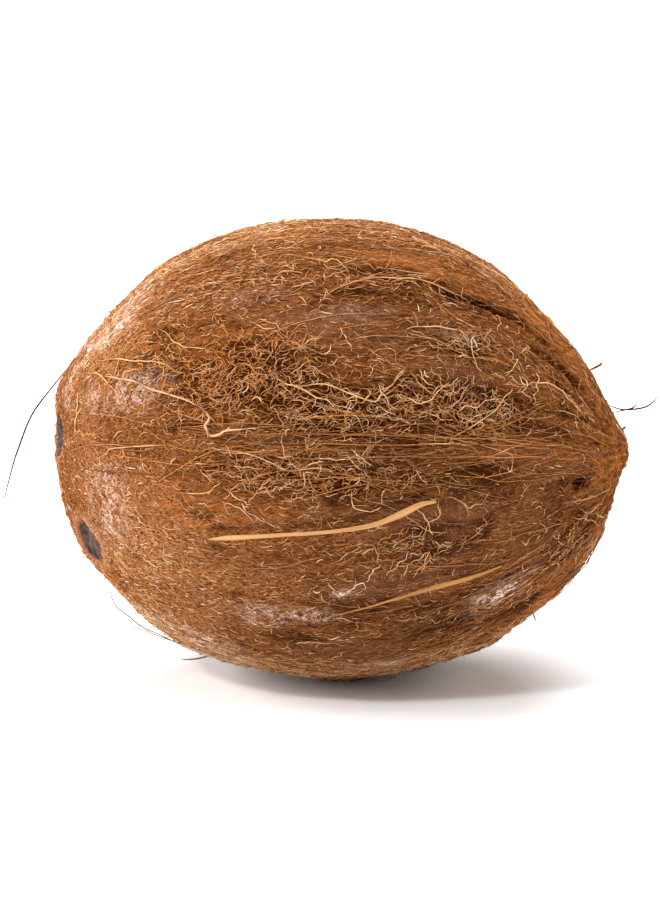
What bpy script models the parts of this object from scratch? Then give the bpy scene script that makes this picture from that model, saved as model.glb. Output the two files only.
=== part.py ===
"""A dry, husked coconut, lying on its side.

The nut grew as one piece, so it is one solid. Its section is faintly three-lobed, with a raised seam on
each lobe and a lower fold between each two. The blunt end carries the three germ pores, and the underside
has a small flat spot that it rests on.

Metres. +X points to the sharp end, -X to the end with the pores, and +Z is up. The origin is on the
resting surface, under the centre of the nut's box.
"""

import math

import bmesh
import bpy
from mathutils import Matrix, Vector

# Driving dimensions, in metres and degrees. A turn is an angle about the X axis, from -Y towards +Z.
BLUNT_HALF = 0.060  # from the widest girth to the end with the pores
SHARP_HALF = 0.065  # from the widest girth to the sharp end
GIRTH_RADIUS = 0.0511
BLUNT_FULLNESS = 1.0  # 1 is an ellipse, and more draws the end to a point
SHARP_FULLNESS = 1.22
SPINE_DROP = 0.003  # how far the nut's middle line sinks to the sharp end, and rises to the blunt one

FIRST_SEAM_TURN = 17.0
SEAMS = 3
LOBE_RISE = 0.0007
SEAM_RISE = 0.0006
FOLD_RISE = 0.0004
SEAM_WIDTH = 9.0

PORES = 3
PORE_TRIANGLE_TILT = 14.5  # from the blunt end's pole to the middle of the three pores
PORE_TRIANGLE_TURN = -49.5
PORE_SPREAD = 14.2  # from the middle of the three pores to each one
FIRST_PORE_TURN = 78.0  # about the middle of the pores
PORE_WIDTH = 0.012
PORE_DEPTH = 0.0016

REST_CUT = 0.0011  # height of the sliver that the flat spot takes off the underside

AROUND = 72
ALONG = 40


def remove_everything():
    for old in list(bpy.data.objects):
        bpy.data.objects.remove(old, do_unlink=True)


def husk_material():
    material = bpy.data.materials.new("husk_brown")
    material.use_nodes = True
    shader = material.node_tree.nodes["Principled BSDF"]
    shader.inputs["Base Color"].default_value = (0.27, 0.12, 0.05, 1.0)
    shader.inputs["Roughness"].default_value = 0.85
    shader.inputs["Metallic"].default_value = 0.0
    return material


def ridge(turn, crest, width):
    """A rounded ridge, 1 high at its crest, for a turn and a crest in degrees."""
    away = math.cos(math.radians(turn - crest)) - 1.0
    return math.exp(away / math.radians(width) ** 2)


def section_rise(turn):
    """How far the section stands above the plain oval shape, at the widest girth."""
    step = 360.0 / SEAMS
    rise = LOBE_RISE * math.cos(math.radians(SEAMS * (turn - FIRST_SEAM_TURN)))
    for i in range(SEAMS):
        seam = FIRST_SEAM_TURN + i * step
        rise += SEAM_RISE * ridge(turn, seam, SEAM_WIDTH)
        rise += FOLD_RISE * ridge(turn, seam + step / 2.0, SEAM_WIDTH)
    return rise


def skin_point(direction):
    """The point of the nut's skin for a unit direction on the sphere that it is shaped from."""
    x, y, z = direction
    spread = math.sqrt(max(0.0, 1.0 - x * x))
    half = SHARP_HALF if x > 0.0 else BLUNT_HALF
    fullness = SHARP_FULLNESS if x > 0.0 else BLUNT_FULLNESS
    turn = math.degrees(math.atan2(z, -y))
    radius = GIRTH_RADIUS * spread**fullness + section_rise(turn) * spread**2
    unit = radius / spread if spread > 1e-6 else 0.0
    along = half * x
    spine = -SPINE_DROP * (along / BLUNT_HALF) ** 3
    return Vector((along, unit * y, unit * z + spine))


def pore_directions():
    """Unit directions of the three germ pores, spread evenly about their own pole."""
    tilt = Matrix.Rotation(math.radians(PORE_TRIANGLE_TILT), 3, "Y")
    turn = Matrix.Rotation(math.radians(90.0 - PORE_TRIANGLE_TURN), 3, "X")
    pole_frame = turn @ tilt
    directions = []
    for i in range(PORES):
        about = math.radians(FIRST_PORE_TURN + i * 360.0 / PORES)
        spread = math.radians(PORE_SPREAD)
        out = math.sin(spread)
        local = Vector((-math.cos(spread), out * math.cos(about), out * math.sin(about)))
        directions.append(pole_frame @ local)
    return directions


def make_nut(material):
    bm = bmesh.new()
    turn_to_x = Matrix.Rotation(math.radians(90.0), 4, "Y")
    bmesh.ops.create_uvsphere(bm, u_segments=AROUND, v_segments=ALONG, radius=1.0, matrix=turn_to_x)
    for vert in bm.verts:
        vert.co = skin_point(vert.co.normalized())

    # The flat spot: slice the sliver off and close the cut with one flat face.
    lowest = min(vert.co.z for vert in bm.verts)
    cut_height = lowest + REST_CUT
    everything = bm.verts[:] + bm.edges[:] + bm.faces[:]
    cut = bmesh.ops.bisect_plane(
        bm, geom=everything, plane_co=(0.0, 0.0, cut_height), plane_no=(0.0, 0.0, -1.0), clear_outer=True
    )
    rim = [item for item in cut["geom_cut"] if isinstance(item, bmesh.types.BMEdge)]
    flat = bmesh.ops.contextual_create(bm, geom=rim)["faces"]
    bmesh.ops.recalc_face_normals(bm, faces=bm.faces[:])
    for face in bm.faces:
        face.smooth = face not in flat

    mesh = bpy.data.meshes.new("coconut")
    bm.to_mesh(mesh)
    bm.free()
    mesh.materials.append(material)
    nut = bpy.data.objects.new("coconut", mesh)
    bpy.context.collection.objects.link(nut)
    return nut


def cut_pores(nut):
    """Press a shallow round dish into the nut at each germ pore."""
    half_width = PORE_WIDTH / 2.0
    ball_radius = (half_width**2 + PORE_DEPTH**2) / (2.0 * PORE_DEPTH)
    for number, direction in enumerate(pore_directions(), start=1):
        mouth = skin_point(direction)
        outward = Vector((direction.x / BLUNT_HALF, direction.y / GIRTH_RADIUS, direction.z / GIRTH_RADIUS))
        outward.normalize()
        centre = mouth + outward * (ball_radius - PORE_DEPTH)
        bm = bmesh.new()
        bmesh.ops.create_uvsphere(bm, u_segments=32, v_segments=24, radius=ball_radius)
        mesh = bpy.data.meshes.new(f"pore_cutter_{number}")
        bm.to_mesh(mesh)
        bm.free()
        cutter = bpy.data.objects.new(f"pore_cutter_{number}", mesh)
        bpy.context.collection.objects.link(cutter)
        cutter.location = centre
        cutter.parent = nut
        cutter.hide_render = True
        cutter.display_type = "WIRE"
        dish = nut.modifiers.new(f"pore_{number}", "BOOLEAN")
        dish.operation = "DIFFERENCE"
        dish.solver = "EXACT"
        dish.object = cutter


def stand_on_origin(nut):
    """Put the flat spot at z = 0, with the origin under the centre of the nut's box."""
    points = [vert.co for vert in nut.data.vertices]
    low = Vector([min(p[axis] for p in points) for axis in range(3)])
    high = Vector([max(p[axis] for p in points) for axis in range(3)])
    nut.location = (-(low.x + high.x) / 2.0, -(low.y + high.y) / 2.0, -low.z)


remove_everything()
coconut = make_nut(husk_material())
cut_pores(coconut)
stand_on_origin(coconut)
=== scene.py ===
import math

import bmesh
import bpy
import numpy as np
from mathutils import Matrix, Vector, noise
from mathutils.bvhtree import BVHTree


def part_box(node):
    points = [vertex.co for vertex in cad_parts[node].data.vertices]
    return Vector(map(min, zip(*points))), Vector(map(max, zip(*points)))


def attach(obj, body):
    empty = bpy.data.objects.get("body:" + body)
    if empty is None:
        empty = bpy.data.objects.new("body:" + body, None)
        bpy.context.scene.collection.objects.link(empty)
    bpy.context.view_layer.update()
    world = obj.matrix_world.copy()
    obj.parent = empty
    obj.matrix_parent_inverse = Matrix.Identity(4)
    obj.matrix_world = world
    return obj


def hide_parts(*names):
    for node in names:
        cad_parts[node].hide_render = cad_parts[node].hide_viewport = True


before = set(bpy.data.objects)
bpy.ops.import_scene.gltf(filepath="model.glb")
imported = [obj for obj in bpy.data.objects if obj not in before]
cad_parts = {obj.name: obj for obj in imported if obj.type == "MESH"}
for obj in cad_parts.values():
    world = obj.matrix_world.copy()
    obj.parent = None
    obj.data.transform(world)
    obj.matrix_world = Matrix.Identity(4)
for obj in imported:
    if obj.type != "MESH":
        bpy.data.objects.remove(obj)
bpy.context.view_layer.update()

# ------------------------------------------------------------------------------------------------
# The studio. A white table top runs out past the view. Broad soft lamps stand low at both sides,
# behind and above, a smaller one is beside the long lens, and the lens looks slightly down.
# ------------------------------------------------------------------------------------------------
LENS_HEIGHT = math.radians(12.0)
LENS_DISTANCE = 0.8
VIEW_TALL = 0.1977
SENSOR = 36.0
AIM_LEFT_OF_NUT = 0.0023
TABLE_REACH = 20.0
TABLE_WHITE = (0.93, 0.93, 0.93)

nut_low, nut_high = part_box("coconut")
centre = (nut_low + nut_high) / 2.0

aim = centre - Vector((AIM_LEFT_OF_NUT, 0.0, 0.0))
to_lens = Vector((0.0, -math.cos(LENS_HEIGHT), math.sin(LENS_HEIGHT)))
camera_data = bpy.data.cameras.new("camera")
camera_data.sensor_width = SENSOR
camera_data.lens = SENSOR * LENS_DISTANCE / VIEW_TALL
camera_data.clip_end = 200.0
camera = bpy.data.objects.new("camera", camera_data)
camera.location = aim + to_lens * LENS_DISTANCE
camera.rotation_euler = (-to_lens).to_track_quat("-Z", "Y").to_euler()
bpy.context.scene.collection.objects.link(camera)
bpy.context.scene.camera = camera
bpy.context.scene.view_settings.view_transform = "Standard"


def soft_sun(name, strength, spread, height, side):
    """A broad lamp, by its height above the table and its side, both in degrees: -90 is the left."""
    data = bpy.data.lights.new(name, "SUN")
    data.energy = strength
    data.angle = math.radians(spread)
    lamp = bpy.data.objects.new(name, data)
    up = math.radians(height)
    round_to = math.radians(side)
    source = Vector((math.sin(round_to) * math.cos(up), -math.cos(round_to) * math.cos(up), math.sin(up)))
    lamp.rotation_euler = source.to_track_quat("Z", "Y").to_euler()
    bpy.context.scene.collection.objects.link(lamp)


soft_sun("left_lamp", 4.4, 36.0, 22.0, -94.0)
soft_sun("back_lamp", 3.2, 50.0, 62.0, 172.0)
soft_sun("ceiling_lamp", 1.3, 60.0, 82.0, -30.0)
soft_sun("lens_lamp", 1.6, 7.0, 40.0, -42.0)
soft_sun("right_lamp", 1.5, 50.0, 22.0, 98.0)

world = bpy.data.worlds.new("pale_room")
world.use_nodes = True
room = world.node_tree.nodes["Background"]
room.inputs["Color"].default_value = (1.0, 1.0, 1.0, 1.0)
room.inputs["Strength"].default_value = 0.22
bpy.context.scene.world = world


def add_node(tree, kind, sockets=None, **settings):
    """A new node with its settings, and each named socket linked to another socket or set to a value."""
    made = tree.nodes.new(kind)
    for setting, value in settings.items():
        setattr(made, setting, value)
    for socket, value in (sockets or {}).items():
        if isinstance(value, bpy.types.NodeSocket):
            tree.links.new(value, made.inputs[socket])
        else:
            made.inputs[socket].default_value = value
    return made


def new_finish(name, roughness, specular):
    """A Principled material, its node tree and its shader."""
    finish = bpy.data.materials.new(name)
    finish.use_nodes = True
    shader = finish.node_tree.nodes["Principled BSDF"]
    shader.inputs["Roughness"].default_value = roughness
    shader.inputs["Specular IOR Level"].default_value = specular
    return finish, finish.node_tree, shader


table_finish, table_tree, table_shader = new_finish("white_card", 0.9, 0.1)
table_shader.inputs["Base Color"].default_value = (*TABLE_WHITE, 1.0)
bm = bmesh.new()
bmesh.ops.create_grid(bm, x_segments=1, y_segments=1, size=TABLE_REACH)
table_mesh = bpy.data.meshes.new("table_top")
bm.to_mesh(table_mesh)
bm.free()
table_mesh.materials.append(table_finish)
table_top = bpy.data.objects.new("table_top", table_mesh)
bpy.context.scene.collection.objects.link(table_top)


# ------------------------------------------------------------------------------------------------
# The husk skin. What is left on the shell when the husk is torn off: a mat of brown fibre with
# raised seams, furrows, bare patches of shell, pale scurf and the germ pores at the blunt end. It
# grew on the shell, so it is one closed sheet that follows it.
# ------------------------------------------------------------------------------------------------
MM = 0.001
RINGS = 216
AROUND = 440
GIRTH_FROM_BLUNT = 60.0 * MM
SPINE_DROP = 3.0 * MM

# Places on the nut are millimetres from the blunt end and degrees of turn about its length, from
# the side that faces the lens up over the top. The patches of skin that differ are each
# (along, turn, half length, half width, strength), with both halves in millimetres.
MATTED = (
    (42, 30, 19, 8, 1.0),
    (26, 37, 11, 5, 0.8),
    (86, 24, 17, 5, 1.0),
    (60, 21, 14, 6, 0.9),
    (54, 6, 22, 4.5, 0.85),
    (88, 42, 5, 4, 0.8),
    (60, 60, 27, 5, 0.35),
    (30, 46, 10, 4, 0.35),
    (112, -30, 7, 5, 0.9),
    (76, -13, 14, 3.5, 0.5),
    (46, 140, 22, 9, 1.0),
    (86, 128, 20, 6, 0.9),
    (60, 158, 22, 6, 0.7),
    (40, -112, 20, 8, 0.9),
    (82, -100, 20, 6, 0.9),
    (62, -150, 20, 7, 0.7),
    (95, 185, 9, 6, 0.6),
)
BARE = (
    (60, 44, 18, 5, 1.0),
    (42, 50, 10, 3, 0.5),
    (86, -9, 14, 9, 0.9),
    (104, 6, 10, 6, 0.6),
    (66, -3, 10, 4, 0.5),
    (86, 34, 8, 3.5, 0.9),
    (96, 46, 8, 5, 0.6),
    (80, -22, 18, 7, 0.85),
    (88, -36, 14, 5, 0.8),
    (66, -46, 18, 6, 0.7),
    (102, -20, 10, 8, 0.7),
    (62, 105, 16, 9, 0.9),
    (88, 165, 14, 9, 0.8),
    (60, -130, 16, 9, 0.9),
    (98, -120, 10, 8, 0.7),
    (32, 175, 12, 9, 0.6),
    (70, -78, 14, 7, 0.4),
)
# Golden patches of fibre. The two strongest, low on the underside, are also painted light: they make the
# underside paler to stand for light coming up from below.
GOLDEN_AND_PAINTED_UNDERLIGHT = (
    (24, -28, 20, 20, 0.5),
    (8, 20, 9, 30, 0.3),
    (12, 76, 15, 22, 0.8),
    (46, -75, 38, 16, 1.4),
    (86, -80, 34, 13, 1.5),
    (40, 94, 46, 15, 0.8),
    (96, 90, 22, 10, 0.7),
    (112, -56, 12, 7, 0.6),
    (26, 120, 18, 16, 0.8),
    (25, -160, 20, 20, 0.9),
    (60, 200, 20, 12, 0.5),
    (104, 140, 14, 12, 0.5),
)
RUSTY = (
    (36, 36, 20, 9, 1.0),
    (108, -62, 15, 9, 1.0),
    (108, 70, 17, 8, 1.0),
    (121, 12, 8, 16, 1.0),
    (78, 66, 22, 6, 0.8),
    (58, 62, 12, 4, 0.5),
    (104, 14, 14, 2, 1.0),
    (104, -26, 12, 1.5, 0.9),
    (100, -76, 22, 6, 1.0),
    (66, -66, 20, 6, 0.5),
    (34, -2, 14, 6, 0.5),
    (46, 140, 18, 8, 0.8),
    (106, 170, 15, 9, 0.9),
    (100, -150, 15, 9, 0.8),
)
# Painted shade: patches where the fibre is painted darker, mostly over the middle of the side that faces the
# lens, where less light falls.
PAINTED_SHADE = (
    (84, 14, 28, 16, 1.0),
    (92, -22, 26, 16, 0.9),
    (70, -44, 22, 8, 0.6),
    (56, 12, 20, 9, 0.6),
    (66, 34, 18, 10, 0.5),
    (86, 150, 24, 14, 0.8),
    (80, -130, 24, 14, 0.8),
)
SCURFY = (
    (18, 76, 6, 4, 1.0),
    (13, 64, 6, 4, 1.0),
    (24, 86, 6, 3, 0.7),
    (7, 66, 4, 3, 0.9),
    (4, 50, 2.5, 5, 0.6),
    (19, 30, 8, 4, 0.7),
    (9, 32, 4, 4, 0.4),
    (13, -13, 6, 8, 0.6),
    (33, -56, 8, 5, 1.1),
    (22, -62, 6, 3, 0.6),
    (46, -34, 6, 3, 0.8),
    (56, -32, 6, 2, 0.9),
    (63, -24.6, 2.2, 1.4, 1.0),
    (97, -38, 6.5, 4, 1.2),
    (72, -58, 8, 3, 0.6),
    (88, 45, 6, 1.2, 0.6),
    (46, 54, 7, 2, 0.25),
    (66, 47, 9, 2, 0.15),
    (30, 130, 8, 5, 0.5),
    (70, 150, 7, 4, 0.45),
    (24, -130, 9, 6, 0.5),
    (80, -160, 8, 4, 0.5),
)
# Where the husk was torn deeper or left fuller than the shell below it, in millimetres.
DENTS = (
    (11, 104, 12, 20, 1.5),
    (44, -81, 12, 18, 1.3),
    (62, -81, 16, 18, 0.7),
    (114, -80, 9, 16, 0.5),
    (124.2, -78, 4.5, 6, 1.7),
    (120.5, -72, 7, 10, 0.6),
    (110, 104, 16, 18, 0.9),
)
SWELLS = (
    (2, 76, 6, 8, 0.8),
    (6, -66, 9, 16, 1.1),
    (124.2, 95, 4.5, 6, 0.9),
    (123.5, 44, 4, 4, 0.3),
)
# Where the fibre has come away in coarse ridges.
COARSE = (
    (106, 66, 18, 12, 1.0),
    (104, -60, 18, 9, 1.0),
    (70, 80, 26, 9, 0.6),
    (66, -73, 40, 11, 1.2),
    (121, 10, 8, 16, 0.7),
    (104, 170, 18, 14, 0.8),
    (100, -140, 16, 12, 0.8),
)

blunt_x = nut_low.x
girth_x = blunt_x + GIRTH_FROM_BLUNT
sharp_half = nut_high.x - girth_x
girth_radius = (nut_high.y - nut_low.y) / 2.0

# The nut's own surface, as a smooth copy of the solid to lay the skin on.
bm = bmesh.new()
bm.from_mesh(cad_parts["coconut"].data)
bmesh.ops.remove_doubles(bm, verts=bm.verts[:], dist=1e-6)
bmesh.ops.join_triangles(
    bm, faces=bm.faces[:], angle_face_threshold=math.radians(15.0), angle_shape_threshold=math.radians(60.0)
)
shell_mesh = bpy.data.meshes.new("shell_guide")
bm.to_mesh(shell_mesh)
bm.free()
shell = bpy.data.objects.new("shell_guide", shell_mesh)
bpy.context.scene.collection.objects.link(shell)
rounding = shell.modifiers.new("rounding", "SUBSURF")
rounding.levels = 2
rounding.render_levels = 2
shell_tree = BVHTree.FromObject(shell, bpy.context.evaluated_depsgraph_get())
bpy.data.objects.remove(shell)
bpy.data.meshes.remove(shell_mesh)


def spine_height(x):
    """Height of the nut's middle line, which sinks towards the sharp end."""
    return centre.z - SPINE_DROP * ((x - girth_x) / GIRTH_FROM_BLUNT) ** 3


def shell_point(along, turn):
    """The point of the shell at a place given in millimetres and degrees."""
    x = blunt_x + along * MM
    around = math.radians(turn)
    out = Vector((0.0, -math.cos(around), math.sin(around)))
    start = Vector((x, centre.y, spine_height(x))) + out * 0.2
    hit = shell_tree.ray_cast(start, -out)[0]
    return hit


def outward(points):
    """Smooth outward directions of the nut, ignoring its relief."""
    x = points[:, 0] - girth_x
    half = np.where(x > 0.0, sharp_half, GIRTH_FROM_BLUNT)
    spine = centre.z - SPINE_DROP * (x / GIRTH_FROM_BLUNT) ** 3
    normal = np.stack(
        [x / half**2, (points[:, 1] - centre.y) / girth_radius**2, (points[:, 2] - spine) / girth_radius**2],
        axis=1,
    )
    return normal / np.linalg.norm(normal, axis=1, keepdims=True)


def grain_frame(normals):
    """The direction along the grain, towards the sharp end, and the one across it."""
    lengthwise = np.array([1.0, 0.0, 0.0]) - normals * normals[:, :1]
    lengthwise /= np.linalg.norm(lengthwise, axis=1, keepdims=True) + 1e-9
    return lengthwise, np.cross(normals, lengthwise)


def spots(points, table):
    """How strongly each point lies in the soft-edged patches of a table, from 0 to 1."""
    total = np.zeros(len(points))
    for along, turn, half_length, half_width, strength in table:
        middle = np.array(shell_point(along, turn))[None, :]
        lengthwise, across = grain_frame(outward(middle))
        away = points - middle
        u = away @ lengthwise[0] / (half_length * MM)
        v = away @ across[0] / (half_width * MM)
        w = away @ np.cross(lengthwise[0], across[0]) / (max(half_length, half_width) * MM)
        total = np.maximum(total, strength * np.exp(-0.8 * (u * u + v * v + w * w) ** 1.5))
    return total


def cloud(points, size_along, size_across, seed):
    """Smooth noise of -1 to 1 with lumps of the given sizes in millimetres, seamless round the nut."""
    scale = np.array([1.0 / size_along, 1.0 / size_across, 1.0 / size_across]) / MM
    places = points * scale + seed * 17.3
    return np.array([noise.noise(place) for place in places.tolist()])


def streak_cloud(points, size_along, streaks, seed):
    """Smooth noise of -1 to 1 in streaks along the nut, which run together at its two ends."""
    side = points[:, 1:] - np.array([centre.y, centre.z])
    side /= np.linalg.norm(side, axis=1, keepdims=True) + 1e-9
    places = np.concatenate([points[:, :1] / (size_along * MM), side * streaks], axis=1) + seed * 17.3
    return np.array([noise.noise(place) for place in places.tolist()])


def ridge_line(points, route, half_width):
    """1 along a route over the skin, fading to 0 at its edges. The route is (along, turn) places."""
    stops = np.array([shell_point(*place) for place in route])
    nearest = np.full(len(points), 1e9)
    for start, end in zip(stops[:-1], stops[1:]):
        run = end - start
        share = np.clip((points - start) @ run / (run @ run), 0.0, 1.0)
        gap = np.linalg.norm(points - start - share[:, None] * run, axis=1)
        nearest = np.minimum(nearest, gap)
    return np.exp(-((nearest / (half_width * MM)) ** 2))


# Directions of a fine grid over the nut, from its centre, and how far the shell is in each.
polar = np.linspace(0.0, math.pi, RINGS + 1)[:, None]
swing = np.linspace(0.0, 2.0 * math.pi, AROUND, endpoint=False)[None, :]
grid = np.stack(
    [
        np.cos(polar) + 0.0 * swing,
        -np.sin(polar) * np.cos(swing),
        np.sin(polar) * np.sin(swing),
    ],
    axis=2,
).reshape(-1, 3)
shell_reach = np.array([shell_tree.ray_cast(centre, Vector(ray))[3] for ray in grid.tolist()])
origin = np.array(centre)
shell_points = origin + grid * shell_reach[:, None]

# The relief, in millimetres: long grooves of fibre, soft lumps, and what is cut or raised one by one.
# Every cloud has its own seed, which is its last number.
PORE_RADIUS = 5.4
PORE_PLACES = ((9.5, -45.5), (1.2, 15.7), (2.5, -103.5))
matted = spots(shell_points, MATTED)
bare = spots(shell_points, BARE)
golden_and_painted_underlight = spots(shell_points, GOLDEN_AND_PAINTED_UNDERLIGHT)
rusty = spots(shell_points, RUSTY)
scurfy = spots(shell_points, SCURFY)
painted_shade = spots(shell_points, PAINTED_SHADE)
coarse = spots(shell_points, COARSE)

relief = 0.30 * cloud(shell_points, 40.0, 5.0, 1) + 0.45 * cloud(shell_points, 22.0, 16.0, 4)
relief += 0.34 * streak_cloud(shell_points, 26.0, 11.0, 6) * (1.0 - 0.5 * bare)
relief += 0.26 * cloud(shell_points, 12.0, 2.0, 2) * (1.0 - 0.5 * bare)
relief += 0.18 * cloud(shell_points, 4.0, 1.2, 3) * (1.0 - 0.4 * bare)
relief += 0.22 * cloud(shell_points, 4.0, 3.0, 5) * (0.5 + 0.8 * matted)
relief += 0.90 * streak_cloud(shell_points, 15.0, 20.0, 7) * coarse
relief -= 0.10 + 0.45 * matted

seam_low = ridge_line(shell_points, ((20, 13), (60, 12), (95, 12), (122, 14)), 1.5)
seam_top = ridge_line(shell_points, ((28, 18), (60, 17.5), (90, 18), (118, 24)), 0.8)
seam_under = ridge_line(shell_points, ((34, 7), (60, 6.5), (92, 8), (116, 10)), 0.7)
relief += 0.65 * seam_low - 0.75 * seam_top - 0.45 * seam_under
furrow = ridge_line(shell_points, ((84, 59), (94, 60), (99, 62), (105, 60), (113, 52), (120, 40)), 1.2)
relief -= 1.0 * furrow
limb_pits = spots(
    shell_points, ((94, 61, 3.4, 1.3, 1.0), (99, 74, 3.6, 1.3, 0.7), (109.5, 76, 3.6, 1.2, 0.7))
)
relief -= 2.0 * limb_pits
limb_ridge = ridge_line(shell_points, ((84, 76), (94, 82), (104, 86), (116, 84)), 2.2)
relief += 0.6 * limb_ridge
low_ridges = ridge_line(shell_points, ((84, -64), (98, -58), (110, -54), (119, -50)), 1.4)
low_ridges += ridge_line(shell_points, ((86, -74), (100, -68), (112, -68), (120, -66)), 1.2)
low_groove = ridge_line(shell_points, ((84, -69), (98, -64), (111, -61), (120, -58)), 1.0)
low_groove += ridge_line(shell_points, ((92, -58), (104, -52), (114, -47), (120, -40)), 0.7)
relief += 0.8 * low_ridges - 1.0 * low_groove
tip_pit = spots(shell_points, ((113.8, 0.5, 2.4, 1.3, 1.0),))
relief -= 1.6 * tip_pit
# A groove above the pale straw, darkened further down as its painted shadow.
straw_groove_and_shadow = ridge_line(shell_points, ((36, -9), (52, -6), (66, -4.2), (74, -0.8), (80, 1.6)), 0.8)
relief -= 0.55 * straw_groove_and_shadow

pore_floor = np.zeros(len(shell_points))
pore_rim = np.zeros(len(shell_points))
pore_clear = np.zeros(len(shell_points))
for along, turn in PORE_PLACES:
    middle = np.array(shell_point(along, turn))
    gap = np.linalg.norm(shell_points - middle, axis=1) / (PORE_RADIUS * MM)
    gap += 0.12 * cloud(shell_points, 5.0, 5.0, 9)
    pore_floor = np.maximum(pore_floor, 1.0 / (1.0 + np.exp((gap - 0.92) * 16.0)))
    pore_rim = np.maximum(pore_rim, np.exp(-(((gap - 1.18) / 0.17) ** 2)))
    pore_clear = np.maximum(pore_clear, np.exp(-((gap / 1.15) ** 8)))
relief = relief * (1.0 - 0.8 * pore_floor) - 0.6 * pore_floor + 0.35 * pore_rim
hollow = np.clip(pore_clear + limb_pits + tip_pit + 0.5 * furrow + 0.5 * straw_groove_and_shadow, 0.0, 1.0)
# How pale or dark the fibre is from place to place, from -1 to 1. Besides random tone, it holds painted
# shade where the relief is low, in the matted patches and in the painted-shade patches, and painted light
# where the relief is raised and in the golden patches on the underside.
tone = 0.55 * streak_cloud(shell_points, 22.0, 13.0, 41) + 0.5 * cloud(shell_points, 14.0, 7.0, 42)
tone += 0.75 * streak_cloud(shell_points, 12.0, 22.0, 44) * coarse
tone += 0.55 * cloud(shell_points, 4.0, 1.8, 43) + 0.55 * np.clip(relief + 0.3, -1.2, 1.0)
tone = np.clip(tone - 0.45 * painted_shade - 0.45 * matted + 0.3 * golden_and_painted_underlight, -1.0, 1.0)

for sign, table in ((-1.0, DENTS), (1.0, SWELLS)):
    for patch in table:
        relief += sign * spots(shell_points, (patch,))

# The skin lies on the table only at the flat spot, so nothing of it goes under the table top.
reach = shell_reach + relief * MM
sunk = origin[2] + grid[:, 2] * reach < 0.0
reach = np.where(sunk, origin[2] / np.maximum(-grid[:, 2], 1e-6), reach)
reach_grid = reach.reshape(RINGS + 1, AROUND)
tone_and_shade_grid = tone.reshape(RINGS + 1, AROUND)
hollow_grid = hollow.reshape(RINGS + 1, AROUND)


def look_up(directions, values):
    """Reads a grid of values over the nut in the given directions from its centre."""
    share = directions[:, 0] / np.linalg.norm(directions, axis=1)
    row = np.arccos(np.clip(share, -1.0, 1.0)) / math.pi * RINGS
    column = np.arctan2(directions[:, 2], -directions[:, 1]) / (2.0 * math.pi) * AROUND % AROUND
    i = np.minimum(row.astype(int), RINGS - 1)
    j = column.astype(int) % AROUND
    k = (j + 1) % AROUND
    down = row - i
    right = column - np.floor(column)
    upper = values[i, j] * (1.0 - right) + values[i, k] * right
    lower = values[i + 1, j] * (1.0 - right) + values[i + 1, k] * right
    return upper * (1.0 - down) + lower * down


bm = bmesh.new()
bm.loops.layers.uv.new("OFBake")
pole_to_x = Matrix.Rotation(math.radians(90.0), 4, "Y")
bmesh.ops.create_uvsphere(
    bm, u_segments=AROUND, v_segments=RINGS, radius=1.0, matrix=pole_to_x, calc_uvs=True
)
rays = np.array([vert.co.normalized() for vert in bm.verts])
skin_points = origin + rays * look_up(rays, reach_grid)[:, None]
for vert, place in zip(bm.verts, skin_points.tolist()):
    vert.co = place
for face in bm.faces:
    face.smooth = True
skin_mesh = bpy.data.meshes.new("husk_skin")
bm.to_mesh(skin_mesh)
bm.free()


def note(mesh, name, values):
    """Writes a number for each vertex of the mesh, for its material to read."""
    layer = mesh.attributes.new(name, "FLOAT", "POINT")
    layer.data.foreach_set("value", values.astype(np.float32))


# Painted shade in the pits, furrows, grooves and seam hollows, and a painted shadow in the groove above the
# pale straw.
dark = limb_pits + 0.9 * tip_pit + 0.6 * furrow + 0.6 * low_groove
dark += 0.7 * seam_top + 0.5 * seam_under + 0.6 * straw_groove_and_shadow
for name, values in (
    ("matted", matted),
    ("bare", bare),
    ("golden_and_painted_underlight", golden_and_painted_underlight),
    ("rusty", rusty),
    ("scurfy", scurfy),
    ("tone", 0.5 + 0.5 * tone),
    ("pore", pore_floor),
    ("rim", pore_rim),
    ("dark", np.clip(dark, 0.0, 1.0)),
):
    note(skin_mesh, name, look_up(rays, values.reshape(RINGS + 1, AROUND)))
GRAIN_STRETCH = 0.2
grain = (skin_points - origin) / MM * np.array([GRAIN_STRETCH, 1.0, 1.0])
grain_layer = skin_mesh.attributes.new("grain", "FLOAT_VECTOR", "POINT")
grain_layer.data.foreach_set("vector", grain.astype(np.float32).ravel())

skin_finish, tree, shader = new_finish("matted_husk", 0.9, 0.0)


def read(name, output="Fac"):
    """A value that the mesh carries, in the material that is being made."""
    return add_node(tree, "ShaderNodeAttribute", attribute_name=name).outputs[output]


def blend_in(base, colour, amount):
    """Mixes a colour over a base colour by an amount."""
    mixer = add_node(tree, "ShaderNodeMix", data_type="RGBA")
    tree.links.new(amount, mixer.inputs[0])
    for slot, value in ((6, base), (7, colour)):
        if isinstance(value, bpy.types.NodeSocket):
            tree.links.new(value, mixer.inputs[slot])
        else:
            mixer.inputs[slot].default_value = (*value, 1.0)
    return mixer.outputs[2]


def arithmetic(operation, first, second):
    return add_node(tree, "ShaderNodeMath", {0: first, 1: second}, operation=operation).outputs[0]


def between(value, low, high):
    """Turns a value into 0 at low and 1 at high, smoothly."""
    sockets = {"Value": value, "From Min": low, "From Max": high}
    return add_node(tree, "ShaderNodeMapRange", sockets, interpolation_type="SMOOTHSTEP").outputs[0]


def grain_noise(scale, detail, roughness=0.6):
    """Noise drawn out along the nut."""
    sockets = {"Vector": read("grain", "Vector"), "Scale": scale, "Detail": detail, "Roughness": roughness}
    return add_node(tree, "ShaderNodeTexNoise", sockets).outputs[0]


place = add_node(tree, "ShaderNodeTexCoord").outputs["Object"]


def even_noise(scale, detail, roughness=0.6):
    """Noise of the same size in every direction."""
    sockets = {"Vector": place, "Scale": scale, "Detail": detail, "Roughness": roughness}
    return add_node(tree, "ShaderNodeTexNoise", sockets).outputs[0]


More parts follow.
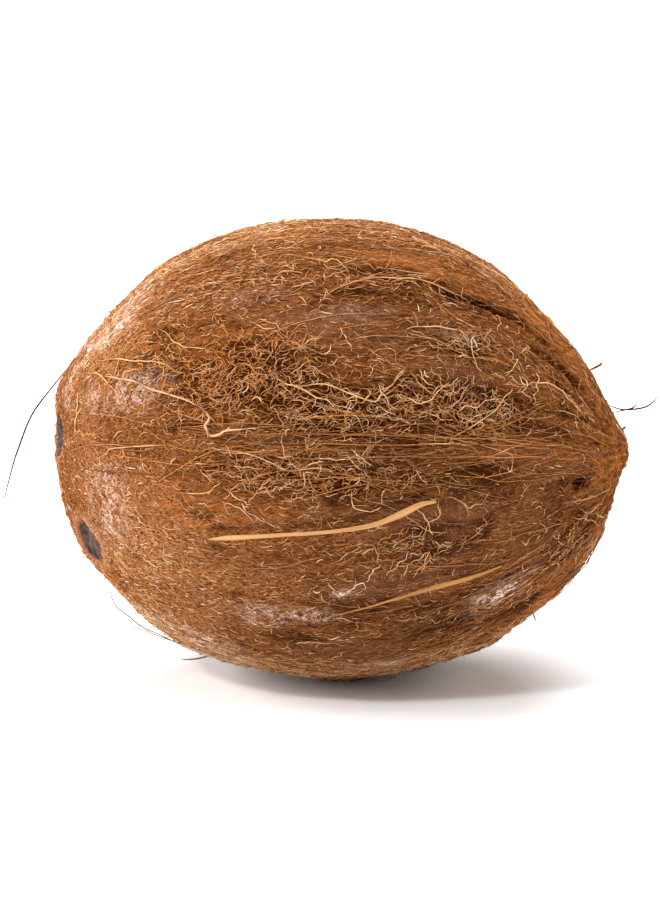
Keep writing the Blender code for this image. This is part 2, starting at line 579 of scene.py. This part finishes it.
DARK_FIBRE_AND_SHADE = (0.026, 0.005, 0.001)
UMBER = (0.085, 0.022, 0.005)
CHESTNUT = (0.25, 0.085, 0.026)
GOLD = (0.50, 0.215, 0.085)
RUST = (0.43, 0.125, 0.024)
SHELL_BROWN = (0.13, 0.052, 0.026)
SHELL_PINK = (0.38, 0.205, 0.135)
SCURF_WHITE = (0.76, 0.59, 0.50)
PORE_GREY = (0.100, 0.068, 0.060)
PORE_DARK = (0.035, 0.020, 0.016)
RIM_PALE = (0.52, 0.28, 0.165)
PAINTED_HOLLOW_SHADE = (0.009, 0.003, 0.001)

fine_streaks = grain_noise(2.6, 3.0)
broad_streaks = grain_noise(0.45, 2.0)
grit = even_noise(1500.0, 2.0)
mottle = even_noise(420.0, 4.0, 0.7)
colour = blend_in(UMBER, CHESTNUT, between(fine_streaks, 0.34, 0.62))
# Golden fibre, with painted light on the underside.
colour = blend_in(colour, GOLD, arithmetic("MULTIPLY", read("golden_and_painted_underlight"), between(fine_streaks, 0.36, 0.62)))
colour = blend_in(colour, RUST, arithmetic("MULTIPLY", read("rusty"), between(broad_streaks, 0.35, 0.6)))
colour = blend_in(colour, SHELL_BROWN, arithmetic("MULTIPLY", read("bare"), between(grit, 0.25, 0.6)))
pale_shell = arithmetic("MULTIPLY", between(mottle, 0.52, 0.72), read("bare"))
colour = blend_in(colour, SHELL_PINK, arithmetic("MULTIPLY", pale_shell, between(grit, 0.46, 0.62)))
# Painted shade: the skin in the matted patches is darkened to stand for the shadow between the curls.
colour = blend_in(colour, DARK_FIBRE_AND_SHADE, arithmetic("MULTIPLY", read("matted"), 0.85))
# Darker where the tone is low, which is partly random dark fibre and partly painted shade.
colour = blend_in(colour, DARK_FIBRE_AND_SHADE, arithmetic("MULTIPLY", between(read("tone"), 0.5, 0.15), 0.75))
scurf_bits = arithmetic("MULTIPLY", read("scurfy"), between(mottle, 0.40, 0.58))
colour = blend_in(colour, SCURF_WHITE, arithmetic("MULTIPLY", scurf_bits, between(grit, 0.36, 0.56)))
specks = between(even_noise(1900.0, 1.0), 0.64, 0.72)
speck_share = arithmetic("ADD", arithmetic("MULTIPLY", read("bare"), 0.6), 0.08)
colour = blend_in(colour, RIM_PALE, arithmetic("MULTIPLY", specks, speck_share))
colour = blend_in(colour, RIM_PALE, arithmetic("MULTIPLY", read("rim"), 0.45))
pore_colour = blend_in(PORE_DARK, PORE_GREY, between(mottle, 0.38, 0.62))
colour = blend_in(colour, pore_colour, between(read("pore"), 0.35, 0.8))
# Painted shade in the hollows.
colour = blend_in(colour, PAINTED_HOLLOW_SHADE, read("dark"))
tree.links.new(colour, shader.inputs["Base Color"])

bump_height = arithmetic("ADD", fine_streaks, arithmetic("ADD", mottle, arithmetic("MULTIPLY", grit, 0.7)))
bump = add_node(tree, "ShaderNodeBump", {"Height": bump_height, "Strength": 0.9, "Distance": 0.5 * MM})
tree.links.new(bump.outputs[0], shader.inputs["Normal"])
skin_mesh.materials.append(skin_finish)

husk_skin = bpy.data.objects.new("husk_skin", skin_mesh)
bpy.context.scene.collection.objects.link(husk_skin)
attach(husk_skin, "root")
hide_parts("coconut")


# ------------------------------------------------------------------------------------------------
# The nap. Short broken ends of husk fibre, glued flat in the mat by their own gum and combed
# along the nut, thinner on the bare shell.
# ------------------------------------------------------------------------------------------------
NAP_PIECES = 5
NAP_EACH = 10500
NAP_POINTS = 5
NAP_LENGTH = 1.8
NAP_HALF_THICKNESS = (0.05, 0.11)
NAP_TONE = 0.40
THREAD_SIDES = 3
TONE_BAND = 1.0 / 64.0

section = bpy.data.curves.new("thread_section", "CURVE")
section.dimensions = "3D"
ring = section.splines.new("POLY")
ring.points.add(THREAD_SIDES - 1)
ring.use_cyclic_u = True
for i, point in enumerate(ring.points):
    angle = 2.0 * math.pi * i / THREAD_SIDES
    point.co = (math.cos(angle), math.sin(angle), 0.0, 1.0)
thread_section = bpy.data.objects.new("thread_section", section)

thread_finish, tree, shader = new_finish("husk_fibre", 0.8, 0.0)
tone_and_run = add_node(tree, "ShaderNodeUVMap", uv_map="OFBake").outputs[0]
split = add_node(tree, "ShaderNodeSeparateXYZ", {"Vector": tone_and_run})
ramp = add_node(tree, "ShaderNodeValToRGB", {"Fac": split.outputs["X"]})
THREAD_TONES = (
    (0.0, (0.024, 0.005, 0.001)),
    (0.15, (0.090, 0.024, 0.004)),
    (0.23, (0.130, 0.058, 0.026)),
    (0.29, (0.180, 0.058, 0.013)),
    (0.35, (0.250, 0.118, 0.036)),
    (0.41, (0.350, 0.108, 0.022)),
    (0.47, (0.360, 0.172, 0.092)),
    (0.54, (0.450, 0.180, 0.048)),
    (0.62, (0.600, 0.240, 0.066)),
    (0.70, (0.640, 0.350, 0.195)),
    (0.78, (0.740, 0.410, 0.170)),
    (0.88, (0.840, 0.540, 0.300)),
    (1.0, (0.930, 0.740, 0.540)),
)
while len(ramp.color_ramp.elements) < len(THREAD_TONES):
    ramp.color_ramp.elements.new(1.0)
for stop, (position, tone) in zip(ramp.color_ramp.elements, THREAD_TONES):
    stop.position = position
    stop.color = (*tone, 1.0)
root_shade = between(split.outputs["Y"], -0.25, 0.3)
threads_colour = blend_in(UMBER, ramp.outputs[0], root_shade)
worn_place = add_node(
    tree, "ShaderNodeVectorMath", {0: tone_and_run, 1: (90.0, 8.0, 1.0)}, operation="MULTIPLY"
).outputs[0]
worn = add_node(tree, "ShaderNodeTexNoise", {"Vector": worn_place, "Scale": 1.0, "Detail": 1.0}).outputs[0]
threads_colour = blend_in(threads_colour, UMBER, arithmetic("MULTIPLY", between(worn, 0.52, 0.38), 0.6))
tree.links.new(threads_colour, shader.inputs["Base Color"])


def settle(points, lift):
    """Brings points onto the skin, and lifts them off it by the given distance."""
    away = points - origin
    away /= np.linalg.norm(away, axis=1, keepdims=True)
    return origin + away * (look_up(away, reach_grid) + lift)[:, None]


def scatter(rng, count, weight):
    """Evenly spread points on the skin, kept by a weight of 0 to 1 for each."""
    kept = np.zeros((0, 3))
    while len(kept) < count:
        rays = rng.normal(size=(count, 3))
        rays /= np.linalg.norm(rays, axis=1, keepdims=True)
        points = settle(origin + rays, np.zeros(count))
        kept = np.concatenate([kept, points[rng.random(count) < weight(points)]])
    return kept[:count]


def grow(roots, headings, lengths, bends, lifts):
    """Threads that creep over the skin. A heading of 0 runs along the grain, bends are added to it at
    each step, and lifts are heights off the skin: an array of one row for each thread."""
    steps = bends.shape[1]
    points = settle(roots, lifts[:, 0])
    path = [points]
    heading = headings.copy()
    stride = (lengths / steps)[:, None]
    for step in range(steps):
        heading = heading + bends[:, step]
        lengthwise, across = grain_frame(outward(points))
        way = lengthwise * np.cos(heading)[:, None] + across * np.sin(heading)[:, None]
        points = settle(points + way * stride, lifts[:, step + 1])
        path.append(points)
    return np.stack(path, axis=1)


def make_threads(name, paths, thickness, tones):
    """One piece of threads with three sides that taper to both ends. Each thread's tone and the run
    from its root to its end are kept in the piece's own UV map."""
    count, stops, _ = paths.shape
    low = np.maximum(paths[:, :, 2], 1.2 * thickness.max(axis=1)[:, None])
    paths = np.concatenate([paths[:, :, :2], low[:, :, None]], axis=2)
    curve = bpy.data.curves.new(name, "CURVE")
    curve.dimensions = "3D"
    curve.bevel_mode = "OBJECT"
    curve.bevel_object = thread_section
    places = np.concatenate([paths, np.ones((count, stops, 1))], axis=2).astype(np.float32)
    radii = thickness.astype(np.float32)
    for i in range(count):
        strand = curve.splines.new("POLY")
        strand.points.add(stops - 1)
        strand.points.foreach_set("co", places[i].ravel())
        strand.points.foreach_set("radius", radii[i])
    guide = bpy.data.objects.new(name + "_guide", curve)
    bpy.context.scene.collection.objects.link(guide)
    bpy.context.view_layer.update()
    mesh = bpy.data.meshes.new_from_object(guide.evaluated_get(bpy.context.evaluated_depsgraph_get()))
    bpy.data.objects.remove(guide)
    bpy.data.curves.remove(curve)

    faces = len(mesh.polygons)
    per_thread = faces // count
    corners = np.zeros(faces * 4, int)
    mesh.polygons.foreach_get("vertices", corners)
    corner = corners.reshape(faces, 4)
    side = corner % THREAD_SIDES
    stop = corner // THREAD_SIDES % stops
    wide = np.where(side == side.min(axis=1, keepdims=True), 0.0, 1.0)
    tone = np.repeat(tones, per_thread)[:, None] * (1.0 - TONE_BAND) + wide * TONE_BAND
    run = stop / (stops - 1.0)
    for layer in list(mesh.uv_layers):
        mesh.uv_layers.remove(layer)
    uv = mesh.uv_layers.new(name="OFBake")
    uv.data.foreach_set("uv", np.stack([tone, run], axis=2).astype(np.float32).ravel())

    bm = bmesh.new()
    bm.from_mesh(mesh)
    bmesh.ops.remove_doubles(bm, verts=bm.verts[:], dist=1e-7)
    for face in bm.faces:
        face.smooth = True
    bm.to_mesh(mesh)
    bm.free()
    mesh.materials.clear()
    mesh.materials.append(thread_finish)
    piece = bpy.data.objects.new(name, mesh)
    bpy.context.scene.collection.objects.link(piece)
    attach(piece, "root")


def taper(count, stops, radii, fullness=0.5):
    """Thread radii that swell from nothing at the root and run out to nothing at the end."""
    run = np.linspace(0.0, 1.0, stops)
    shape = np.sin(np.pi * run) ** fullness
    shape[0] = 0.0
    shape[-1] = 0.0
    return radii[:, None] * shape[None, :]


def nap_weight(points):
    """How thickly the nap stands at each point, from 0 to 1."""
    hollow_here = look_up(points - origin, hollow_grid)
    thin = 0.8 * spots(points, BARE) + 0.4 * spots(points, MATTED) + 0.4 * spots(points, SCURFY)
    return (1.0 - thin).clip(0.0, 1.0) * (1.0 - hollow_here)


for number in range(NAP_PIECES):
    rng = np.random.default_rng(100 + number)
    roots = scatter(rng, NAP_EACH, nap_weight)
    gold_and_painted_underlight = spots(roots, GOLDEN_AND_PAINTED_UNDERLIGHT)
    rust = spots(roots, RUSTY)
    dust = spots(roots, SCURFY)
    drift = 0.22 * cloud(roots, 9.0, 6.0, 11)
    backwards = np.where(rng.random(NAP_EACH) < 0.5, 0.0, math.pi)
    way_along = (roots[:, 0] - blunt_x) / (nut_high.x - blunt_x)
    headings = drift + rng.normal(0.0, 1.0, NAP_EACH) * (0.36 - 0.14 * way_along) + backwards
    lengths = rng.gamma(5.0, NAP_LENGTH / 5.0, NAP_EACH).clip(0.8, 6.0) * (0.85 + 0.75 * way_along) * MM
    bends = rng.normal(0.0, 0.24, (NAP_EACH, NAP_POINTS - 1))
    rise = np.array([0.0, 0.08, 0.11, 0.10, 0.04]) * MM
    stick_out = rng.exponential(0.05, NAP_EACH)[:, None] * np.array([0.0, 0.2, 0.7, 1.3, 1.9]) * MM
    paths = grow(roots, headings, lengths, bends, rise[None, :] + stick_out)
    # The nap takes the skin's tone, with its painted shade and light.
    tones = NAP_TONE + rng.normal(0.0, 0.14, NAP_EACH) + 0.32 * look_up(roots - origin, tone_and_shade_grid)
    powder = dust * (cloud(roots, 1.6, 1.4, 12) > -0.05)
    tones += (0.45 - tones) * 0.4 * rust
    # Paler in the golden patches, which low on the underside are painted light, and in the scurf.
    tones += 0.28 * gold_and_painted_underlight + 0.48 * powder * rng.random(NAP_EACH)
    tones += np.where(rng.random(NAP_EACH) < 0.04, 0.3, 0.0)
    radii = rng.uniform(*NAP_HALF_THICKNESS, NAP_EACH) * MM
    make_threads(f"nap_{number + 1}", paths, taper(NAP_EACH, NAP_POINTS, radii), np.clip(tones, 0.02, 0.97))


# ------------------------------------------------------------------------------------------------
# The curls. Torn fibres that have dried into wavy, hooked threads and lie tangled over the mat,
# thickest in the matted patches beside the seams. Short sprigs of them stand all over the nut.
# ------------------------------------------------------------------------------------------------
# Each piece is (threads, stops of a thread, share outside the mats, middle length, middle tone).
CURLS = (
    (2900, 12, 0.02, 4.4, 0.68),
    (2900, 12, 0.04, 3.2, 0.58),
    (5400, 7, 0.24, 1.9, 0.60),
)
# The length of a thread's waves in millimetres, and how far they swing its heading in radians.
WAVE_LENGTH = (2.0, 4.2)
WAVE_SWING = (0.15, 0.8)
# Patches where the curls lean from the grain: the last number is the lean in radians.
SLANTED = (
    (88, 25, 16, 7, 0.55),
    (30, 40, 14, 8, -0.35),
    (46, 30, 10, 6, 0.3),
    (60, 60, 20, 6, 0.15),
)


def curl_weight(points, outside):
    """How thickly the curls lie at each point, from 0 to 1."""
    hollow_here = look_up(points - origin, hollow_grid)
    return (outside + (1.0 - outside) * spots(points, MATTED) ** 1.3) * (1.0 - hollow_here)


def slant(points):
    """How far the threads of a place lean from the grain, in radians."""
    lean = 0.30 * cloud(points, 12.0, 8.0, 21)
    for patch in SLANTED:
        lean += math.copysign(1.0, patch[4]) * spots(points, ((*patch[:4], abs(patch[4])),))
    return lean


for number, (count, stops, outside, middle_length, middle_tone) in enumerate(CURLS):
    rng = np.random.default_rng(200 + number)
    roots = scatter(rng, count, lambda points: curl_weight(points, outside))
    steps = stops - 1
    backwards = np.where(rng.random(count) < 0.5, 0.0, math.pi)
    headings = slant(roots) + rng.normal(0.0, 0.42, count) + backwards
    lengths = rng.gamma(4.0, middle_length / 4.0, count).clip(1.0, 11.0)
    stride = lengths[:, None] / steps
    wave = 2.0 * math.pi * stride / rng.uniform(*WAVE_LENGTH, count)[:, None]
    phase = rng.uniform(0.0, 2.0 * math.pi, count)[:, None]
    swing = rng.uniform(*WAVE_SWING, count)[:, None]
    hook = rng.normal(0.0, 0.09, count)[:, None]
    bends = swing * wave * np.cos(wave * np.arange(steps)[None, :] + phase)
    bends += hook + rng.normal(0.0, 0.16, (count, steps))
    run = np.linspace(0.0, 1.0, stops)[None, :]
    arch = rng.exponential(0.22, count)[:, None] * np.sin(np.pi * run)
    loose = rng.exponential(0.12, count)[:, None] * run**2
    ripple = 0.10 * rng.random((count, stops))
    lifts = (0.10 + arch + loose + ripple) * MM
    lifts[:, 0] = 0.0
    paths = grow(roots, headings, lengths * MM, bends, lifts)
    rust = 0.75 * spots(roots, RUSTY)
    tones = (middle_tone + rng.normal(0.0, 0.16, count)) * (1.0 - rust) + 0.60 * rust
    radii = rng.gamma(7.0, 0.0118, count).clip(0.04, 0.16) * MM
    make_threads(f"curls_{number + 1}", paths, taper(count, stops, radii, 0.35), np.clip(tones, 0.02, 0.97))


# ------------------------------------------------------------------------------------------------
# The long strands. Whole husk fibres left lying along the nut, most of them in the seams and over
# the back, where they run together towards the sharp end.
# ------------------------------------------------------------------------------------------------
STRAND_STOPS = 22
# Each band is (threads, along from and to, turn from and to, middle length, middle tone, thickness).
STRAND_BANDS = (
    (170, 24, 118, 4, 21, 24.0, 0.48, 0.095),
    (110, 50, 120, -34, 10, 14.0, 0.40, 0.10),
    (90, 22, 112, 60, 112, 16.0, 0.55, 0.12),
    (40, 60, 118, 14, 50, 14.0, 0.58, 0.11),
    (60, 30, 118, -100, -50, 16.0, 0.52, 0.12),
    (60, 84, 122, -80, -30, 14.0, 0.52, 0.14),
    (70, 24, 116, 120, 180, 20.0, 0.56, 0.11),
    (70, 24, 116, -170, -110, 20.0, 0.56, 0.11),
)

paths, tones, radii = [], [], []
rng = np.random.default_rng(300)
for count, from_along, to_along, from_turn, to_turn, middle_length, middle_tone, thick in STRAND_BANDS:
    places = zip(rng.uniform(from_along, to_along, count), rng.uniform(from_turn, to_turn, count))
    roots = np.array([shell_point(along, turn) for along, turn in places])
    headings = rng.normal(0.0, 0.07, count) + np.where(rng.random(count) < 0.5, 0.0, math.pi)
    lengths = rng.gamma(5.0, middle_length / 5.0, count).clip(5.0, 45.0) * MM
    bends = rng.normal(0.0, 0.05, (count, STRAND_STOPS - 1))
    bends += rng.normal(0.0, 0.012, count)[:, None]
    run = np.linspace(0.0, 1.0, STRAND_STOPS)[None, :]
    lifts = 0.12 + rng.exponential(0.12, count)[:, None] * np.sin(np.pi * run)
    lifts = (lifts + 0.08 * rng.random((count, STRAND_STOPS))) * MM
    lifts[:, 0] = 0.0
    paths.append(grow(roots, headings, lengths, bends, lifts))
    tones.append(np.clip(rng.normal(middle_tone, 0.12, count), 0.22, 0.95))
    radii.append(taper(count, STRAND_STOPS, rng.uniform(0.6, 1.3, count) * thick * MM, 0.4))
make_threads("strands", np.concatenate(paths), np.concatenate(radii), np.concatenate(tones))


# ------------------------------------------------------------------------------------------------
# The stray ends. Single fibres that stand out on the nut, laid over the skin one by one: forked
# and hooked ones between the seams, and the loose hairs that spring clear of the outline.
# ------------------------------------------------------------------------------------------------
LAID_STOPS = 26
# A fork leaves its strand by this many radians, and is this many millimetres long on average.
FORK_TURN = (0.3, 1.1)
FORK_LENGTH = 2.8
# Each is (half thickness in millimetres, tone, height off the skin, places along and round the nut).
LAID = (
    (0.27, 0.71, 0.6, ((11, 41), (14, 38), (18, 34), (22.5, 29.5), (27, 26.5), (31, 24.5), (34.5, 22))),
    (0.34, 0.70, 0.9, ((33.5, 23), (35.5, 20), (34.8, 17.3), (36, 15.6), (38, 15.8), (40, 16.8), (46, 17))),
    (0.15, 0.84, 0.3, ((10, 50), (15.5, 44), (21, 40), (24.5, 37.5), (28, 34))),
    (0.13, 0.80, 0.3, ((8, 48.5), (11, 41), (14.5, 33), (16, 27))),
    (0.12, 0.82, 0.3, ((6, 41), (6.5, 28), (6, 14))),
    (0.13, 0.80, 0.3, ((24.5, 49.5), (28.5, 42.5), (31, 40), (36, 38))),
    (0.16, 0.74, 0.4, ((58, 50), (63, 55), (70, 59), (74.5, 60), (79.5, 61), (86.5, 60.5), (91.5, 60))),
    (0.17, 0.84, 0.5, ((48.5, 29.5), (52.5, 27), (58.5, 24), (62, 21))),
    (0.18, 0.82, 0.5, ((52.5, 26.5), (59, 27.5), (63.5, 25), (69, 23), (71, 25), (72.5, 27.5))),
    (0.15, 0.80, 0.4, ((34.5, 12), (39, 11.5), (45, 10.5), (48, 9), (52, 7), (59, 8), (61.5, 6.5))),
    (0.15, 0.80, 0.4, ((107.5, 40.5), (110.5, 38.5), (114, 34.5))),
    (0.15, 0.80, 0.4, ((75.5, 43), (80, 44.5), (84.5, 45.5), (87.5, 46), (88.5, 44.5))),
    (0.16, 0.88, 0.6, ((91, 47), (89.4, 43.3), (89.6, 41), (91, 39.4))),
    (0.12, 0.90, 0.3, ((86.5, 37), (87.6, 38.2), (88.8, 37.6))),
    (0.15, 0.84, 0.5, ((84, 15), (88, 17.5), (91, 20), (94, 23.5), (96, 26.5), (97.5, 30), (98.5, 32.5))),
    (0.14, 0.84, 0.5, ((87, 20.5), (86.6, 22.7), (88.3, 24), (90.5, 24.2), (92.7, 26.5), (96, 28))),
    (0.13, 0.84, 0.4, ((97.5, 40.5), (99.3, 43), (98.6, 39.5), (96.4, 36))),
    (0.14, 0.84, 0.4, ((100.4, 37.6), (101.3, 35.6), (100.2, 31))),
    (0.17, 0.80, 0.4, ((101, 34.5), (104, 38), (107.5, 40), (111, 39.5), (115, 34))),
    (0.14, 0.84, 0.5, ((72, 22), (76, 24.6), (78.2, 23.4), (81, 24.5), (82.6, 26.6), (85, 30))),
    (0.10, 0.92, 0.3, ((96.9, 8.5), (97.4, 6.6), (98.2, 8.5))),
    (0.10, 0.92, 0.3, ((100.4, -16.5), (101.3, -19.2), (102.2, -17.4))),
    (0.10, 0.92, 0.3, ((107.4, -18.7), (108.3, -22.8), (109.2, -20.8))),
    (0.10, 0.90, 0.3, ((100.8, -27.6), (101.5, -30.9), (102.4, -29.8))),
    (0.17, 0.66, 0.4, ((111, -15), (115, -21), (118.4, -36.5))),
    (0.16, 0.74, 0.4, ((115.6, -18), (118.4, -27), (121.5, -51))),
    (0.13, 0.86, 0.3, ((84.4, 0.4), (87, -1), (88.8, -2.8), (90.3, -2.7), (93, -2.1))),
    (0.12, 0.86, 0.3, ((15.5, -6.3), (17.6, -6.9), (18.5, -5))),
    (0.12, 0.86, 0.3, ((20.7, -26), (22.8, -26.5), (25.3, -26.5))),
    (0.12, 0.84, 0.3, ((29.4, 0), (31.6, 0), (36, 1.4), (37.6, 4.2))),
    (0.12, 0.84, 0.3, ((32.7, -2.5), (36, -2.8))),
    (0.13, 0.84, 0.4, ((38.7, 2.2), (41, 0), (43.7, -1.4))),
    (0.14, 0.86, 0.4, ((37.8, -0.9), (41.5, -2.4), (44.4, -5.6))),
    (0.12, 0.84, 0.5, ((64.5, 3), (65, -1), (68, -2.4), (71, -1.6))),
    (0.15, 0.80, 0.4, ((78.0, -2.4), (79.5, -4.6), (80.8, -7.4), (81.6, -10))),
    (0.13, 0.82, 0.4, ((80.5, -6.5), (82.6, -4.6), (83, -2))),
    (0.12, 0.90, 0.4, ((61.5, -25), (60.6, -22.5), (59.5, -21))),
    (0.12, 0.90, 0.4, ((64.2, -25), (65.5, -22.2), (67.2, -21.4), (67.4, -24))),
    (0.12, 0.56, 0.3, ((34, 14), (60, 13.2), (84, 13.6), (104, 14.6), (117, 15))),
    (0.12, 0.50, 0.3, ((40, 11), (62, 10.2), (86, 10.8), (108, 12))),
    (0.12, 0.54, 0.3, ((50, 15.6), (74, 15.4), (98, 16), (118, 18))),
    (0.13, 0.80, 0.3, ((11.4, 5.2), (13.2, 8.2), (14.8, 10.4), (20.6, 11.8), (27.2, 13))),
    (0.13, 0.78, 0.4, ((54, 66), (58.9, 63.4), (61.3, 64.2), (64.4, 61))),
    (0.12, 0.78, 0.4, ((43.3, 45), (47.5, 42), (49.2, 42.4))),
    (0.13, 0.62, 0.3, ((82.6, 10.4), (92, 10.8), (102, 11.2), (113, 12))),
    (0.14, 0.80, 0.3, ((78, 13.6), (84, 13.8), (89.2, 13.8))),
    (0.14, 0.60, 0.4, ((91.8, -14.6), (102, -15), (112.9, -16.4))),
    (0.13, 0.72, 0.4, ((109.9, -8), (115.5, -8), (121.3, -9))),
    (0.13, 0.82, 0.4, ((53, -43.5), (55.6, -41.6), (61.3, -42.2))),
    (0.14, 0.78, 0.4, ((112.9, -12), (115, -17), (117.5, -15), (119, -20))),
)
# Each is (half thickness, tone, places), with places in millimetres: from the blunt end along the
# nut, back from its middle, and up from the table.
LOOSE = (
    (0.25, 0.14, ((5, 6, 73), (-1, 4, 64), (-5.5, 2, 58), (-8.5, 0.5, 50.5), (-9.5, 0, 47.5),
                  (-12, -2.5, 38))),
    (0.24, 0.08, ((119, 3, 60), (124.5, 2.5, 59.3), (128.5, 2.5, 59.6), (130.8, 3, 60.5), (132.6, 4, 62.4))),
    (0.20, 0.06, ((125.8, 2.5, 59.1), (126.6, 2.7, 59.6), (127.6, 3, 60.6))),
    (0.17, 0.30, ((9.5, -6, 22.7), (12.7, -7, 18), (16, -7.5, 15), (19, -8, 12.7), (23, -8.5, 11),
                  (30, -9, 7.5))),
    (0.15, 0.50, ((31, -9, 7.6), (23, -8.4, 10.6), (19, -8.1, 12.2), (15, -8, 13))),
    (0.19, 0.22, ((35, -9.5, 7), (31, -9.3, 5.9), (27.5, -9, 5.6))),
    (0.22, 0.42, ((52, -10, 3.4), (58, -10.3, 1.7), (64, -10.4, 1.0), (71, -10.2, 2.4))),
    (0.34, 0.30, ((118, 4, 68), (119.4, 4, 68.9), (119.9, 4, 69.6))),
    (0.34, 0.28, ((123.5, 1, 55), (124.6, 1, 55.3), (125.3, 1.2, 55.8))),
    (0.24, 0.42, ((103.5, -7, 17), (105, -7.4, 15), (105.4, -7.6, 13.8))),
)


def smooth_path(knots, stops):
    """An even curve of so many stops through a few points."""
    spans = len(knots) - 1
    first, last = 2.0 * knots[:1] - knots[1:2], 2.0 * knots[-1:] - knots[-2:-1]
    knots = np.concatenate([first, knots, last])
    share = np.linspace(0.0, spans, stops)
    span = np.minimum(share.astype(int), spans - 1)
    t = (share - span)[:, None]
    a, b, c, d = (knots[span + k] for k in range(4))
    return b + 0.5 * ((c - a) * t + (2 * a - 5 * b + 4 * c - d) * t**2 + (3 * b - a - 3 * c + d) * t**3)


def over_skin(places, stops):
    """A smooth path over the nut through places given in millimetres and degrees."""
    return smooth_path(np.array([shell_point(*place) for place in places]), stops)


paths, tones, radii = [], [], []
rng = np.random.default_rng(400)
run = np.linspace(0.0, 1.0, LAID_STOPS)
for thick, shade, lift, places in LAID:
    above = lift * np.sin(np.pi * run) ** 0.7 + 0.2
    path = over_skin(places, LAID_STOPS) + smooth_path(rng.normal(0.0, 0.16 * MM, (9, 3)), LAID_STOPS)
    path = settle(path, above * MM)
    paths.append(path)
    radii.append(thick * MM)
    tones.append(shade)
    forks = len(places) // 2
    fork_at = rng.integers(2, LAID_STOPS - 3, forks)
    lengthwise, across = grain_frame(outward(path[fork_at]))
    ahead = path[fork_at + 1] - path[fork_at - 1]
    heading = np.arctan2((ahead * across).sum(axis=1), (ahead * lengthwise).sum(axis=1))
    heading += rng.choice((-1.0, 1.0), forks) * rng.uniform(*FORK_TURN, forks)
    bends = rng.normal(0.0, 0.16, (forks, LAID_STOPS - 1))
    fork_lengths = rng.gamma(4.0, FORK_LENGTH / 4.0, forks) * MM
    fork_lifts = above[fork_at][:, None] * (1.0 - 0.6 * run[None, :]) * MM
    paths.extend(grow(path[fork_at], heading, fork_lengths, bends, fork_lifts))
    radii.extend([0.6 * thick * MM] * forks)
    tones.extend([shade - 0.04] * forks)
start = np.array([blunt_x, centre.y, 0.0])
for thick, shade, places in LOOSE:
    knots = start + np.array(places) * MM
    root = settle(knots[:1], np.array([-0.1 * MM]))
    paths.append(smooth_path(np.concatenate([root, knots[1:]]), LAID_STOPS))
    radii.append(thick * MM)
    tones.append(shade)
laid_radii = taper(len(paths), LAID_STOPS, np.array(radii), 0.35)
make_threads("stray_ends", np.stack(paths), laid_radii, np.array(tones))


# ------------------------------------------------------------------------------------------------
# The straws. Two flat blades of husk, split off lengthwise and dried stiff, that lie pressed into
# the mat below the seam: a pale one with a needle point and a broken end, and a darker one.
# ------------------------------------------------------------------------------------------------
STRAW_STOPS = 48
STRAW_ACROSS = 6
# Each is (name, pale colour, dark colour, thickness, lift, places, half widths along it).
STRAWS = (
    (
        "pale_straw", (0.60, 0.325, 0.130), (0.40, 0.185, 0.066), 0.34, 0.42,
        ((35, -12), (39.3, -10.7), (44.8, -9.4), (52.5, -8), (60.2, -7.2), (64.6, -6.6), (69, -5.8),
         (72.5, -4.5), (75.6, -3.1), (78.9, -1.4), (82.2, -0.8)),
        (0.16, 0.66, 0.54, 0.50, 0.50, 0.54, 0.60, 0.74, 0.88, 0.70, 0.35),
    ),
    (
        "dark_straw", (0.52, 0.235, 0.070), (0.30, 0.110, 0.034), 0.28, 0.30,
        ((61, -31.4), (65.7, -30), (71.2, -28.2), (76.7, -26.7), (82.2, -25.7), (88.8, -25.2), (96, -24)),
        (0.08, 0.22, 0.38, 0.50, 0.72, 0.70, 0.30),
    ),
)
for name, pale, dark, thickness, lift, places, half_widths in STRAWS:
    straw_finish, tree, shader = new_finish(name, 0.7, 0.1)
    along_straw = add_node(tree, "ShaderNodeUVMap", uv_map="OFBake").outputs[0]
    stretched = add_node(
        tree, "ShaderNodeVectorMath", {0: along_straw, 1: (3.0, 14.0, 1.0)}, operation="MULTIPLY"
    ).outputs[0]
    streaks = add_node(
        tree, "ShaderNodeTexNoise", {"Vector": stretched, "Scale": 1.0, "Detail": 3.0}
    ).outputs[0]
    tree.links.new(blend_in(dark, pale, between(streaks, 0.35, 0.62)), shader.inputs["Base Color"])
    bump = add_node(tree, "ShaderNodeBump", {"Height": streaks, "Strength": 0.6, "Distance": 0.2 * MM})
    tree.links.new(bump.outputs[0], shader.inputs["Normal"])

    bm = bmesh.new()
    bm.loops.layers.uv.new("OFBake")
    bmesh.ops.create_grid(bm, x_segments=STRAW_STOPS, y_segments=STRAW_ACROSS, size=1.0, calc_uvs=True)
    flat = np.array([vert.co for vert in bm.verts])
    share = (flat[:, 0] + 1.0) / 2.0
    middle_line = over_skin(places, STRAW_STOPS + 1)
    stop = np.rint(share * STRAW_STOPS).astype(int)
    ahead = np.gradient(middle_line, axis=0)[stop]
    sideways = np.cross(outward(middle_line)[stop], ahead)
    sideways /= np.linalg.norm(sideways, axis=1, keepdims=True)
    half_width = np.interp(share, np.linspace(0.0, 1.0, len(half_widths)), half_widths) * MM
    spread_out = middle_line[stop] + sideways * (flat[:, 1] * half_width)[:, None]
    crown = lift + thickness * (1.0 - flat[:, 1] ** 2)
    blade = settle(spread_out, crown * MM)
    for vert, place in zip(bm.verts, blade.tolist()):
        vert.co = place
    for face in bm.faces:
        face.smooth = True
    straw_mesh = bpy.data.meshes.new(name)
    bm.to_mesh(straw_mesh)
    bm.free()
    straw_mesh.materials.append(straw_finish)
    straw = bpy.data.objects.new(name, straw_mesh)
    bpy.context.scene.collection.objects.link(straw)
    body = straw.modifiers.new("body", "SOLIDIFY")
    body.thickness = thickness * MM
    rounding = straw.modifiers.new("rounding", "SUBSURF")
    rounding.levels = 1
    rounding.render_levels = 1
    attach(straw, "root")
